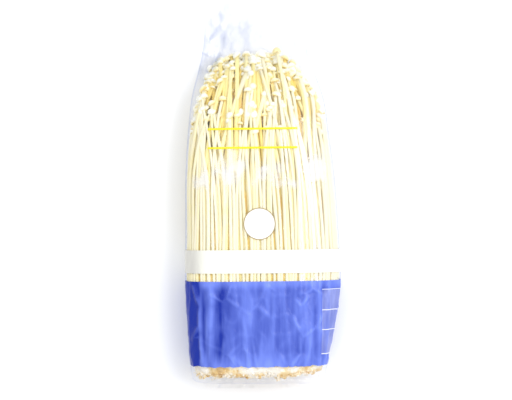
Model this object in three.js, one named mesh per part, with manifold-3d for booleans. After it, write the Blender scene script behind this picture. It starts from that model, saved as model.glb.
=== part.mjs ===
// A retail pack of enoki mushrooms lying on its back: the bunch of thin stems and small caps grown from one
// base, the pad of growing medium still stuck under that base, and the clear film bag round both.
// Millimetres, +Z up, +Y from the base towards the caps. The origin is under the middle of the pack.
import * as THREE from 'three';
import { mergeVertices } from 'three/addons/utils/BufferGeometryUtils.js';
import Module from 'manifold-3d';

const wasm = await Module();
wasm.setup();

// The bag's outside, station by station from its sealed end to its mouth: y, left edge, right edge,
// underside and top. An underside below zero is pressed flat by the pack's weight.
const BAG_OUTLINE = [
  [-108.4, -32.0, 30.5, 12.2, 14.2],
  [-105.2, -35.0, 32.5, 10.6, 15.8],
  [-103.9, -38.0, 34.0, 2.0, 29.5],
  [-101.0, -39.6, 35.0, -0.8, 33.0],
  [-94.4, -41.0, 36.4, -1.5, 34.6],
  [-80.0, -42.3, 39.2, -1.6, 35.6],
  [-64.0, -43.4, 42.2, -1.6, 36.0],
  [-47.3, -44.2, 44.2, -1.6, 36.0],
  [-20.0, -44.0, 43.0, -1.6, 36.0],
  [14.0, -43.9, 40.4, -1.6, 35.6],
  [36.0, -42.6, 37.4, -1.5, 34.4],
  [55.0, -40.6, 34.6, -0.8, 31.0],
  [70.0, -37.0, 29.4, 1.4, 25.6],
  [80.0, -34.6, 25.6, 3.8, 20.6],
  [90.0, -33.4, 23.4, 6.4, 15.6],
  [98.0, -33.0, 22.6, 8.2, 13.2],
  [108.4, -33.0, 22.4, 9.0, 12.0],
];
const SQUARENESS = 2.8; // exponent of the section: 2 is an ellipse, more is squarer

const FILM_THICKNESS = 0.7; // thicker than real film, so that it is a solid wall
const FILM_GAP = 0.65; // from the film to the widest stem, with room for the flats of both
const CAVITY_END_Y = -103.0; // where the film's inside stops, short of the flat seal
const FILM_AROUND = 44;
const PLEAT_COUNT = 9; // soft pleats where the mouth is drawn flat
const PLEAT_DEPTH = 0.42;

const BUNCH_BASE_Y = -94.7;
const PARTING_Y = 12; // below this the outer stems are ribs on the packed core, above it they stand free
const RIB_RINGS = [ // y, how far the ribs sink below the stems' outer edge, and how deep the valleys are
  [BUNCH_BASE_Y, 0.4, 0.2],
  [-82, 0, 0.8],
  [-47, 0, 1.3],
  [PARTING_Y, 0, 1.3],
];
const CORE_RINGS = [ // y and reach of the rounded core between the free stems
  [10, 1],
  [32, 0.74],
  [40, 0.34],
];
const CORE_STEP = 4.4; // how far the core draws in where the outer stems part from it
const CORE_AROUND = 16;

const OUTER_STEMS = 70;
const INNER_STEMS = 44;
const STEM_RADIUS = 1.15;
const STEM_SIDES = 5;
const STEM_CLEARANCE = 0.17; // how far a free stem lies inside the ribs, so that no two faces coincide
const STEM_SINK = 4; // how deep an outer stem is rooted in its own rib
const SWAY = 0.3; // as a share of the space between two stems
const SWAY_TURN = 0.9; // radians of its wave from one stem to the next
const SWAY_RISE = 0.045; // radians of its wave for each millimetre of y
const LEAN = 0.03; // as a share of the way round the section
const SECOND_ROW = 2.7; // how far every other outer stem draws in, so that neighbouring caps pass each other
const INNER_REACH = 0.72; // how far out the inner stems spread
const INNER_ROOT_Y = 18;
const GOLDEN_SHARE = (3 - Math.sqrt(5)) / 2; // of a turn, from one spread piece to the next
const CAP_RADIUS = [1.6, 2.5]; // smallest and largest
const CAP_HEIGHT = 1.15; // of its radius
const CAP_BRIM = 0.2; // where the cap is widest, of its height
const CAP_SHOULDER = [0.72, 0.8]; // of its radius and of its height
const CROWN_Y = 80.5; // where the tallest caps reach
const SHOULDER_DROP = 20; // how much lower the crown is at the bag's two sides
const STAGGER_OUTER = 46; // how far below the crown an outer cap may sit
const STAGGER_INNER = 18;

const MEDIUM_TOP_Y = -95.0;
const MEDIUM_THICKNESS = 4.6;
const MEDIUM_AROUND = 26;
const MEDIUM_SHRINK = 1.4; // how far the pad lies inside the bunch's edge
const CRUMB_COUNT = 36;
const CRUMB_RADIUS = [1.5, 3.0];

const TOUCH_GAP = 0.03; // between sheets that would only touch
const FUSE_TOLERANCE = 0.03; // faces flatter than this are merged when pieces are fused
const SLIVER_TOLERANCE = 0.01;
const SEED = 20417;

// Numbers between 0 and 1 that come out the same on every run.
function seeded(seed) {
  let state = seed >>> 0;
  return () => {
    state = (state + 0x6d2b79f5) >>> 0;
    let mixed = Math.imul(state ^ (state >>> 15), state | 1);
    mixed ^= mixed + Math.imul(mixed ^ (mixed >>> 7), mixed | 61);
    return ((mixed ^ (mixed >>> 14)) >>> 0) / 4294967296;
  };
}

const between = ([low, high], share) => low + (high - low) * share;

const outline = new THREE.CubicInterpolant(
  BAG_OUTLINE.map(([y]) => y),
  BAG_OUTLINE.flatMap(([, ...edges]) => edges),
  4,
);

// Middle and half sizes of the bag's section at y.
function sectionAt(y) {
  const [left, right, low, high] = outline.evaluate(y);
  return {
    middleX: (left + right) / 2,
    middleZ: (low + high) / 2,
    halfWidth: (right - left) / 2,
    halfHeight: (high - low) / 2,
  };
}

const squared = (value) => Math.sign(value) * Math.abs(value) ** (2 / SQUARENESS);

// A point of the section at y: turn is the angle round it, reach runs from 0 at its middle to 1 at the edge
// that lies inset inside the film's outside. Nothing gets nearer to the floor than the inset.
function onSection(y, turn, reach, inset) {
  const { middleX, middleZ, halfWidth, halfHeight } = sectionAt(y);
  const x = middleX + reach * (halfWidth - inset) * squared(Math.cos(turn));
  const z = middleZ + reach * (halfHeight - inset) * squared(Math.sin(turn));
  return new THREE.Vector3(x, y, Math.max(z, inset));
}

// The section's edge as it is met by the outer stems, measured in small steps: the length run so far.
const EDGE_STEPS = 1440;
const STEM_INSET = FILM_THICKNESS + FILM_GAP; // from the film's outside to a stem's outer edge
const edgeLengths = measureEdge(0, STEM_INSET + STEM_RADIUS);

function measureEdge(y, inset) {
  const lengths = [0];
  let previous = onSection(y, 0, 1, inset);
  for (let step = 1; step <= EDGE_STEPS; step += 1) {
    const point = onSection(y, (step / EDGE_STEPS) * 2 * Math.PI, 1, inset);
    lengths.push(lengths[step - 1] + point.distanceTo(previous));
    previous = point;
  }
  return lengths;
}

// The angle of the point that lies a share of the way round the edge: 1 is once round.
function turnOf(share) {
  const whole = Math.floor(share);
  const wanted = (share - whole) * edgeLengths[EDGE_STEPS];
  const step = edgeLengths.findIndex((length) => length > wanted) - 1;
  const rest = (wanted - edgeLengths[step]) / (edgeLengths[step + 1] - edgeLengths[step]);
  return (whole + (step + rest) / EDGE_STEPS) * 2 * Math.PI;
}

// A closed body through rings of points, each ring the same way round, with flat or given ends.
function loft(rings) {
  const around = rings[0].length;
  const positions = rings.flat().flatMap((p) => [p.x, p.y, p.z]);
  const faces = [];
  const at = (ring, i) => ring * around + (i % around);
  for (let ring = 0; ring + 1 < rings.length; ring += 1) {
    for (let i = 0; i < around; i += 1) {
      faces.push(at(ring, i), at(ring + 1, i + 1), at(ring, i + 1));
      faces.push(at(ring, i), at(ring + 1, i), at(ring + 1, i + 1));
    }
  }
  const middle = (ring) => ring
    .reduce((sum, p) => sum.add(p), new THREE.Vector3())
    .divideScalar(ring.length);
  for (const [ring, turned] of [[0, false], [rings.length - 1, true]]) {
    const centre = middle(rings[ring]);
    const hub = positions.length / 3;
    positions.push(centre.x, centre.y, centre.z);
    for (let i = 0; i < around; i += 1) {
      const edge = turned ? [at(ring, i + 1), at(ring, i)] : [at(ring, i), at(ring, i + 1)];
      faces.push(...edge, hub);
    }
  }
  const geometry = new THREE.BufferGeometry();
  geometry.setAttribute('position', new THREE.Float32BufferAttribute(positions, 3));
  geometry.setIndex(faces);
  return geometry;
}

function solidOf(geometry) {
  const bare = geometry.clone();
  bare.deleteAttribute('normal');
  bare.deleteAttribute('uv');
  const merged = mergeVertices(bare, 1e-4);
  return new wasm.Manifold(new wasm.Mesh({
    numProp: 3,
    vertProperties: merged.getAttribute('position').array,
    triVerts: new Uint32Array(merged.getIndex().array),
  }));
}

function geometryOf(solid) {
  const mesh = solid.getMesh();
  const geometry = new THREE.BufferGeometry();
  geometry.setAttribute('position', new THREE.BufferAttribute(mesh.vertProperties, 3));
  geometry.setIndex(new THREE.BufferAttribute(mesh.triVerts, 1));
  geometry.computeVertexNormals();
  partTouching(geometry);
  return geometry;
}

// Where two fused pieces only touch, points of two sheets share one place. Each is drawn back a little
// along its own normal, so that the sheets no longer meet in an edge without thickness.
function partTouching(geometry) {
  const position = geometry.getAttribute('position');
  const normal = geometry.getAttribute('normal');
  const places = new Map();
  for (let i = 0; i < position.count; i += 1) {
    const place = [position.getX(i), position.getY(i), position.getZ(i)].map((v) => v.toFixed(3)).join();
    places.set(place, [...(places.get(place) ?? []), i]);
  }
  for (const touching of places.values()) {
    if (touching.length === 1) continue;
    for (const i of touching) {
      position.setXYZ(
        i,
        position.getX(i) - TOUCH_GAP * normal.getX(i),
        position.getY(i) - TOUCH_GAP * normal.getY(i),
        position.getZ(i) - TOUCH_GAP * normal.getZ(i),
      );
    }
  }
}

// Simplified, with sealed gaps filled and loose scraps dropped: what is left is the one largest shell.
function mainBody(solid, tolerance) {
  return solid.simplify(tolerance).decompose().reduce((a, b) => (a.volume() > b.volume() ? a : b));
}

// Pieces fused into one body. A second pass clears the slivers that the first one leaves.
function fuse(pieces) {
  const joined = mainBody(wasm.Manifold.union(pieces.map(solidOf)), FUSE_TOLERANCE);
  return geometryOf(mainBody(solidOf(geometryOf(joined)), SLIVER_TOLERANCE));
}

// Bag

// The ring of film at y. Near the mouth its long faces carry soft pleats.
function filmRing(y, inset) {
  const pleating = PLEAT_DEPTH * THREE.MathUtils.smoothstep(y, 72, 104);
  const ring = [];
  for (let i = 0; i < FILM_AROUND; i += 1) {
    const turn = (i / FILM_AROUND) * 2 * Math.PI;
    const point = onSection(y, turn, 1, inset);
    const { middleX, halfWidth } = sectionAt(y);
    const across = (point.x - middleX) / halfWidth;
    point.z += pleating * Math.cos(across * PLEAT_COUNT * Math.PI / 2) * (1 - across ** 2);
    ring.push(point);
  }
  return ring;
}

function bagGeometry() {
  const ys = BAG_OUTLINE.map(([y]) => y);
  const outside = ys.map((y) => filmRing(y, 0));
  const insideYs = [CAVITY_END_Y, ...ys.filter((y) => y > CAVITY_END_Y)].reverse();
  const inside = insideYs.map((y) => filmRing(y, FILM_THICKNESS));
  return loft([...outside, ...inside]);
}

// Bunch

// One mushroom as a lathe-turned stem and cap, bent on to its path. The path gives a centre for each
// height, counted from 0 at the root to 1 at the tip.
function mushroomGeometry(path, length, capRadius, bends, twist) {
  const capHeight = capRadius * CAP_HEIGHT;
  const capBase = length - capHeight;
  const profile = [new THREE.Vector2(0, 0)];
  for (let i = 0; i <= bends; i += 1) {
    profile.push(new THREE.Vector2(STEM_RADIUS, (i / bends) * capBase));
  }
  profile.push(new THREE.Vector2(capRadius, capBase + capHeight * CAP_BRIM));
  profile.push(new THREE.Vector2(capRadius * CAP_SHOULDER[0], capBase + capHeight * CAP_SHOULDER[1]));
  profile.push(new THREE.Vector2(0, length));
  const geometry = new THREE.LatheGeometry(profile, STEM_SIDES, twist);
  const position = geometry.getAttribute('position');
  const side = new THREE.Vector3();
  const rise = new THREE.Vector3();
  for (let i = 0; i < position.count; i += 1) {
    const share = THREE.MathUtils.clamp(position.getY(i) / length, 0, 1);
    const centre = path(share);
    const ahead = path(Math.min(share + 0.02, 1)).sub(path(Math.max(share - 0.02, 0))).normalize();
    side.set(ahead.y, -ahead.x, 0).normalize();
    rise.crossVectors(side, ahead);
    centre.addScaledVector(side, position.getX(i)).addScaledVector(rise, position.getZ(i));
    position.setXYZ(i, centre.x, centre.y, centre.z);
  }
  return geometry;
}

// Where outer stem i meets the edge at y, as a share of the way round. It sways with its neighbours.
const placeOf = (i, y) => (i + SWAY * Math.sin(i * SWAY_TURN + y * SWAY_RISE)) / OUTER_STEMS;

// A stem's centre line: it keeps its place in the section and leans near its tip. The tip draws in so
// that the cap, wider than the stem, stays inside the film.
function stemPath(random, placeAt, reach, rootY, tipY, capRadius, drawIn) {
  const lean = (random() - 0.5) * LEAN;
  return (share) => {
    const y = THREE.MathUtils.lerp(rootY, tipY, share);
    const free = share ** 3;
    const inset = STEM_INSET + STEM_CLEARANCE + STEM_RADIUS + (capRadius - STEM_RADIUS) * free
      + drawIn * THREE.MathUtils.smoothstep(share, 0.1, 0.5);
    return onSection(y, turnOf(placeAt(y) + lean * free), reach, inset);
  };
}

function tipHeight(place, reach, drop) {
  const across = reach * squared(Math.cos(turnOf(place)));
  return CROWN_Y - SHOULDER_DROP * across ** 2 - drop;
}

function outerMushrooms(random) {
  return Array.from({ length: OUTER_STEMS }, (_, i) => {
    const capRadius = between(CAP_RADIUS, random());
    const tipY = tipHeight(i / OUTER_STEMS, 1, random() ** 1.4 * STAGGER_OUTER);
    const rootY = PARTING_Y - STEM_SINK;
    const drawIn = (i % 2) * SECOND_ROW;
    const path = stemPath(random, (y) => placeOf(i, y), 1, rootY, tipY, capRadius, drawIn);
    return mushroomGeometry(path, tipY - rootY, capRadius, 3, random());
  });
}

// Inner stems are spread over the section like seeds in a flower head, and only their free ends are built.
function innerMushrooms(random) {
  return Array.from({ length: INNER_STEMS }, (_, i) => {
    const place = (i * GOLDEN_SHARE) % 1;
    const reach = INNER_REACH * Math.sqrt((i + 0.5) / INNER_STEMS);
    const capRadius = between(CAP_RADIUS, random());
    const tipY = tipHeight(place, reach, random() * STAGGER_INNER);
    const path = stemPath(random, () => place, reach, INNER_ROOT_Y, tipY, capRadius, 0);
    return mushroomGeometry(path, tipY - INNER_ROOT_Y, capRadius, 2, random());
  });
}

// A plain ring of points round the section, for solids that need no ribs.
function plainRing(y, count, inset, reach) {
  return Array.from({ length: count }, (_, i) => (
    onSection(y, (i / count) * 2 * Math.PI, reach, inset)
  ));
}

// A ribbed ring: three points for each outer stem, a valley before it and the two edges of its rib.
function ribbedRing(y, inset, ribDepth) {
  return Array.from({ length: OUTER_STEMS }, (_, i) => {
    const before = placeOf(i - 1, y);
    const place = placeOf(i, y);
    const next = placeOf(i + 1, y);
    return [
      onSection(y, turnOf((before + place) / 2), 1, inset + ribDepth),
      onSection(y, turnOf(place - (place - before) / 4), 1, inset),
      onSection(y, turnOf(place + (next - place) / 4), 1, inset),
    ];
  }).flat();
}

// The packed lower part of the bunch: fused smooth at the base, and ribbed by the outer stems above it.
function packedGeometry() {
  return loft(RIB_RINGS.map(([y, sunk, depth]) => ribbedRing(y, STEM_INSET + sunk, depth)));
}

// The rounded top of the packed part, inside the free ends of the outer stems.
function coreGeometry() {
  return loft(CORE_RINGS.map(([y, reach]) => plainRing(y, CORE_AROUND, STEM_INSET + CORE_STEP, reach)));
}

function bunchGeometry(random) {
  const pieces = [packedGeometry(), coreGeometry(), ...outerMushrooms(random), ...innerMushrooms(random)];
  return fuse(pieces);
}

// Growing medium

// A thin pad of pressed sawdust with crumbs along its rim and its cut underside.
function mediumGeometry(random) {
  const pad = loft([MEDIUM_TOP_Y - MEDIUM_THICKNESS, MEDIUM_TOP_Y].map((y) => (
    plainRing(y, MEDIUM_AROUND, STEM_INSET + MEDIUM_SHRINK, 1)
  )));
  const crumbs = Array.from({ length: CRUMB_COUNT }, (_, i) => {
    const radius = between(CRUMB_RADIUS, random());
    const turn = i * GOLDEN_SHARE * 2 * Math.PI;
    const reach = Math.sqrt((i + 0.5) / CRUMB_COUNT);
    const y = MEDIUM_TOP_Y - radius - 0.3 - random() * (MEDIUM_THICKNESS - radius);
    const crumb = new THREE.DodecahedronGeometry(radius, 0);
    crumb.rotateX(random() * Math.PI).rotateZ(random() * Math.PI);
    const place = onSection(y, turn, reach, STEM_INSET + radius);
    return crumb.translate(place.x, place.y, place.z);
  });
  return fuse([pad, ...crumbs]);
}

// Pack

function part(name, geometry, look) {
  const mesh = new THREE.Mesh(geometry, new THREE.MeshStandardMaterial(look));
  mesh.name = name;
  return mesh;
}

const random = seeded(SEED);
const pack = new THREE.Group();
pack.add(part('mushroom_bunch', bunchGeometry(random), { color: 0xf3e7c2, roughness: 0.55, metalness: 0 }));
pack.add(part('growing_medium', mediumGeometry(random), { color: 0xb98a4a, roughness: 0.95, metalness: 0 }));
pack.add(part('film_bag', bagGeometry(), {
  color: 0xdfe6f5, roughness: 0.12, metalness: 0, transparent: true, opacity: 0.3,
}));

export default pack;
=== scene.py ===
import math

import bmesh
import bpy
import numpy as np
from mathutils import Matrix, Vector, noise
from mathutils.bvhtree import BVHTree


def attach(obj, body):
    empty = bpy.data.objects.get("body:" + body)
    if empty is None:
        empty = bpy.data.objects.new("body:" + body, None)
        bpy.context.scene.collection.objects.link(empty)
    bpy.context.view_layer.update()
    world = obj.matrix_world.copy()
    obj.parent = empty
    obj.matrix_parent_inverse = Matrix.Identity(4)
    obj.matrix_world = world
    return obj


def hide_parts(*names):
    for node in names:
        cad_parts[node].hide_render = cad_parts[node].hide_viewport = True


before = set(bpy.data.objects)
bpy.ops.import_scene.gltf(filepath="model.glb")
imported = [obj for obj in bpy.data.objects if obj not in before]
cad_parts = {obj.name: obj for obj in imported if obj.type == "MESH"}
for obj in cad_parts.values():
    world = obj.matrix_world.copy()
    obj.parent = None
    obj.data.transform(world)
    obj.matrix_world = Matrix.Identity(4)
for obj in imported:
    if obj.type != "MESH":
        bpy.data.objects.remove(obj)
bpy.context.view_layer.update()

# Mushroom stems
# Some five hundred and fifty thin stems of moist cream-white flesh, grown side by side from one base and
# pressed together by the bag. The outer rows show from base to tip, the inner ones where the bunch opens.
MM = 0.001
BAG_OUTLINE = MM * np.array([  # y, left edge, right edge, underside and top, from the seal to the mouth
    (-108.4, -32.0, 30.5, 12.2, 14.2),
    (-105.2, -35.0, 32.5, 10.6, 15.8),
    (-103.9, -38.0, 34.0, 2.0, 29.5),
    (-101.0, -39.6, 35.0, -0.8, 33.0),
    (-94.4, -41.0, 36.4, -1.5, 34.6),
    (-80.0, -42.3, 39.2, -1.6, 35.6),
    (-64.0, -43.4, 42.2, -1.6, 36.0),
    (-47.3, -44.2, 44.2, -1.6, 36.0),
    (-20.0, -44.0, 43.0, -1.6, 36.0),
    (14.0, -43.9, 40.4, -1.6, 35.6),
    (36.0, -42.6, 37.4, -1.5, 34.4),
    (55.0, -40.6, 34.6, -0.8, 31.0),
    (70.0, -37.0, 29.4, 1.4, 25.6),
    (80.0, -34.6, 25.6, 3.8, 20.6),
    (90.0, -33.4, 23.4, 6.4, 15.6),
    (98.0, -33.0, 22.6, 8.2, 13.2),
    (108.4, -33.0, 22.4, 9.0, 12.0),
])
SQUARENESS = 2.8
FULL_HALF_HEIGHT = 18.0 * MM
ROW_GAP_SHADE = (0.0, 0.13, 0.25, 0.40, 0.50, 0.55, 0.60)  # painted shade of the gaps, in gold, that each row gets, from the outside in
EDGE_STEPS = 1440
STEM_INSET = 1.35 * MM
STEM_RADIUS = (0.82 * MM, 1.2 * MM)
STEM_SPACING = 2.05 * MM
STEM_ROWS = 7
WHOLE_ROWS = 2  # rows whose stems reach down to the base
ROW_STEP = 1.7 * MM
PACKED_STEP = 0.72  # of the step between rows, where the stems are pressed together
OPENED_STEP = 0.28  # added to it at the crown
PATH_STEPS = (32, 16)  # points along a whole stem and along an inner one
PLACE_JITTER = 0.27  # in stem spacings
BASE_Y = -94.2 * MM
OPENING_Y = -4.0 * MM
CROWN_Y = 80.0 * MM
SHOULDER_DROP = 27.0 * MM
SHOULDER_WIDTH = 34.0 * MM
SHOULDER_POWER = 2.7
SHORT_SHARE = (0.94, 0.8, 0.5, 0.25, 0.1, 0.1, 0.1)  # how many stems of each row are short
SHORT_DROP = (48.0 * MM, 42.0 * MM, 34.0 * MM, 26.0 * MM, 20.0 * MM, 20.0 * MM, 20.0 * MM)
LONG_DROP = (19.0 * MM, 17.0 * MM, 15.0 * MM, 13.0 * MM, 11.0 * MM, 9.0 * MM, 9.0 * MM)
SIDE_EVENNESS = 0.6  # how much less the heights differ at the two sides
CAP_RADIUS = (1.9 * MM, 2.75 * MM)
SHORT_CAP_SCALE = 0.9
STEM_SIDES = 7
SWAY = (0.26, 0.52)  # in stem spacings: where packed, and added where free
LEAN_SPREAD = 0.016
BEND = 0.1
BENT_SHARE = 0.4  # how many stems bend away from their neighbours
SHORT_LEAN_SCALE = 1.5
LEANING = (0.07, 0.19)  # the part of the outer row, on the upper right, where stems lean to the left
LEANING_CHANCE = 0.5
LEANING_BY = (0.02, 0.06)
TIP_LENGTH = 12.0 * MM
SHORT_WIDENING = -0.12  # towards the tip, as a share of the stem's radius
LONG_WIDENING = 0.16
OLD_CAP_AT = (7.8 * MM, 80.4 * MM)
draw = np.random.default_rng(20417)


def section(y):
    """Left edge, right edge, underside and top of the bag at each y."""
    stations = BAG_OUTLINE[:, 0]
    edges = BAG_OUTLINE[:, 1:]
    slopes = np.gradient(edges, stations, axis=0)
    k = np.clip(np.searchsorted(stations, y) - 1, 0, len(stations) - 2)
    span = (stations[k + 1] - stations[k])[..., None]
    t = (np.asarray(y)[..., None] - stations[k][..., None]) / span
    start = (2 * t**3 - 3 * t**2 + 1) * edges[k] + (t**3 - 2 * t**2 + t) * span * slopes[k]
    end = (3 * t**2 - 2 * t**3) * edges[k + 1] + (t**3 - t**2) * span * slopes[k + 1]
    return start + end


def squared(value):
    """Turns a circle's sine or cosine into that of the squarer section."""
    return np.sign(value) * np.abs(value) ** (2 / SQUARENESS)


def in_section(y, turn, inset):
    """Points at y, at an angle round the section, that lie inset inside the bag's outside."""
    left, right, low, high = np.moveaxis(section(y), -1, 0)
    x = (left + right) / 2 + ((right - left) / 2 - inset) * squared(np.cos(turn))
    z = (low + high) / 2 + ((high - low) / 2 - inset) * squared(np.sin(turn))
    return np.stack(np.broadcast_arrays(x, y, np.maximum(z, inset)), axis=-1)


edge_turns = np.linspace(0, 2 * math.pi, EDGE_STEPS + 1)
edge_points = in_section(np.zeros(EDGE_STEPS + 1), edge_turns, STEM_INSET)
edge_lengths = np.concatenate([[0], np.cumsum(np.linalg.norm(np.diff(edge_points, axis=0), axis=1))])


def turn_of(share):
    """The angle of the point that lies a share of the way round the section's edge."""
    whole = np.floor(share)
    return whole * 2 * math.pi + np.interp((share - whole) * edge_lengths[-1], edge_lengths, edge_turns)


def stem_path(row, place, count, short):
    """A stem's centre line from root to tip, the radius of its cap, and its outward direction at the tip."""
    cap_radius = draw.uniform(*CAP_RADIUS) * (SHORT_CAP_SCALE if short else 1.0)
    share = (place + 0.5 * (row % 2) + draw.uniform(-PLACE_JITTER, PLACE_JITTER)) / count
    across = squared(np.cos(turn_of(share)))
    if short:
        drop = (0.1 + 0.9 * draw.random() ** 0.9) * SHORT_DROP[row]
    else:
        drop = draw.uniform(0, LONG_DROP[row])
    drop = drop * (1 - SIDE_EVENNESS * across**2)
    sideways = abs(across) * (1 - row * ROW_STEP / SHOULDER_WIDTH)
    tip_y = CROWN_Y - SHOULDER_DROP * sideways**SHOULDER_POWER - drop
    root_y = BASE_Y if row < WHOLE_ROWS else OPENING_Y
    y = np.linspace(root_y, tip_y, PATH_STEPS[0] if row < WHOLE_ROWS else PATH_STEPS[1])
    free = np.clip((y - OPENING_Y) / (CROWN_Y - OPENING_Y), 0, 1)
    phase = place * 0.7 + row * 2.1
    sway = (SWAY[0] + SWAY[1] * free) * (np.sin(phase + 38 * y) + 0.6 * np.sin(2.3 * phase + 71 * y))
    lean = draw.normal(0, LEAN_SPREAD) + (draw.uniform(-BEND, BEND) if draw.random() < BENT_SHARE else 0)
    lean = lean * (SHORT_LEAN_SCALE if short else 1.0)
    left, right, low, high = np.moveaxis(section(y), -1, 0)
    squeeze = (high - low) / 2 / FULL_HALF_HEIGHT
    wander = (0.25 + free) * (draw.uniform(0, 0.7) + 0.5 * np.sin(draw.uniform(0, 6.28) + 55 * y))
    row_depth = row * ROW_STEP * (PACKED_STEP + OPENED_STEP * free)
    inset = STEM_INSET + STEM_RADIUS[1] + squeeze * (row_depth + np.maximum(wander, 0) * MM)
    near_tip = np.clip(1 - (tip_y - y) / TIP_LENGTH, 0, 1) ** 2
    inset = inset + near_tip * (cap_radius - STEM_RADIUS[1])
    if row == 0 and LEANING[0] < share < LEANING[1] and draw.random() < LEANING_CHANCE:
        lean += draw.uniform(*LEANING_BY)
    turn = turn_of(share + sway / count + lean * free**2)
    path = in_section(y, turn, inset)
    outward = path[-1] - np.array([(left[-1] + right[-1]) / 2, tip_y, (low[-1] + high[-1]) / 2])
    return path, cap_radius, outward / np.linalg.norm(outward)


def tube(path, radius, sides):
    """A closed tube along a path: its points ring by ring, and its faces."""
    ahead = np.gradient(path, axis=0)
    ahead /= np.linalg.norm(ahead, axis=1, keepdims=True)
    side = np.cross(ahead, (0, 0, 1))
    side /= np.linalg.norm(side, axis=1, keepdims=True)
    rise = np.cross(ahead, side)
    angle = 2 * math.pi * np.arange(sides) / sides
    ring = np.cos(angle)[:, None] * side[:, None] + np.sin(angle)[:, None] * rise[:, None]
    points = (path[:, None] + np.reshape(radius, (-1, 1, 1)) * ring).reshape(-1, 3)
    around = np.arange(sides)
    first = np.arange(len(path) - 1)[:, None] * sides
    ahead_of = (around + 1) % sides
    quads = np.stack([first + around, first + ahead_of, first + sides + ahead_of, first + sides + around], -1)
    ends = [list(around[::-1]), list(around + (len(path) - 1) * sides)]
    return points, [*quads.reshape(-1, 4).tolist(), *ends]


def piece_of(name, parts, slot, **attributes):
    """One smooth mesh object of many closed parts, with a number for each part's points kept by name."""
    points = np.concatenate([part_points for part_points, _ in parts])
    starts = np.cumsum([0] + [len(part_points) for part_points, _ in parts[:-1]])
    faces = [[int(i + start) for i in face] for (_, faces), start in zip(parts, starts) for face in faces]
    mesh = bpy.data.meshes.new(name)
    mesh.from_pydata(points.tolist(), [], faces)
    mesh.shade_smooth()
    for label, values in attributes.items():
        each = np.concatenate([np.broadcast_to(v, len(p)) for v, (p, _) in zip(values, parts)])
        mesh.attributes.new(label, "FLOAT", "POINT").data.foreach_set("value", each.astype(np.float32))
    piece = bpy.data.objects.new(name, mesh)
    bpy.context.scene.collection.objects.link(piece)
    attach(piece, "root")
    return piece


stems = []
for row in range(STEM_ROWS):
    row_edge = in_section(np.zeros(EDGE_STEPS + 1), edge_turns, STEM_INSET + STEM_RADIUS[1] + row * ROW_STEP)
    row_length = np.linalg.norm(np.diff(row_edge, axis=0), axis=1).sum()
    row_count = round(row_length / STEM_SPACING)
    for place in range(row_count):
        short = draw.random() < SHORT_SHARE[row]
        path, cap_radius, outward = stem_path(row, place, row_count, short)
        thickness = draw.uniform(*STEM_RADIUS)
        stems.append((path, thickness, cap_radius, outward, row, short))
oldest = min(range(len(stems)), key=lambda i: abs(stems[i][0][-1, 0] - OLD_CAP_AT[0]) + (stems[i][4] != 1))
oldest_path = stems[oldest][0]
oldest_path[:, 1] += (OLD_CAP_AT[1] - oldest_path[-1, 1]) * np.linspace(0, 1, len(oldest_path))


def stem_piece(name, rows):
    """The stems of some rows as one piece. Short ones taper to their tips, and long ones widen."""
    tubes = []
    deep = []
    for path, thickness, cap_radius, outward, row, short in stems:
        if row in rows:
            along = np.linspace(0, 1, len(path))
            widening = SHORT_WIDENING if short else LONG_WIDENING
            radius = thickness * (1.0 + widening * along**2 + 0.04 * np.sin(along * 23 + thickness * 1e6))
            tubes.append(tube(path, radius, STEM_SIDES))
            # Each stem carries its row's painted gap shade in its deep value.
            deep.append(ROW_GAP_SHADE[row])
    piece = piece_of(name, tubes, "mushroom_flesh", deep=deep, tone=draw.uniform(0, 1, len(tubes)))
    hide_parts("mushroom_bunch")
    return piece


outer_stems = stem_piece("outer_stems", range(WHOLE_ROWS))
inner_stems = stem_piece("inner_stems", range(WHOLE_ROWS, STEM_ROWS))


def new_material(name):
    """A material whose only node is its output, and a call that adds a node with its settings and inputs."""
    material = bpy.data.materials.new(name)
    material.use_nodes = True
    tree = material.node_tree
    tree.nodes.clear()

    def add(kind, settings=None, **inputs):
        node = tree.nodes.new("ShaderNode" + kind)
        for key, value in (settings or {}).items():
            setattr(node, key, value)
        for key, value in inputs.items():
            socket = node.inputs[int(key[1:])] if key[1:].isdigit() else node.inputs[key.replace("_", " ")]
            if isinstance(value, bpy.types.NodeSocket):
                tree.links.new(value, socket)
            else:
                socket.default_value = value
        return node.outputs[0]

    def show(surface):
        tree.links.new(surface, tree.nodes.new("ShaderNodeOutputMaterial").inputs["Surface"])
        return material

    return add, show


def ramp(add, value, stops):
    """A colour that changes with a value between stops of place and colour."""
    colour = add("ValToRGB", None, Fac=value)
    elements = colour.node.color_ramp.elements
    elements[0].position, elements[0].color = stops[0][0], (*stops[0][1], 1)
    elements[1].position, elements[1].color = stops[-1][0], (*stops[-1][1], 1)
    for place, shade in stops[1:-1]:
        elements.new(place).color = (*shade, 1)
    return colour


# FLESH_PALE is the flesh's own colour; the yellow, gold and deep colours are mostly painted shade of the gaps
# between stems.
FLESH_PALE = (0.94, 0.865, 0.62)
FLESH_YELLOW = (0.95, 0.825, 0.37)
FLESH_SHADED_GOLD = (0.92, 0.70, 0.17)
FLESH_DEEP_SHADE = (0.78, 0.48, 0.10)


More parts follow.
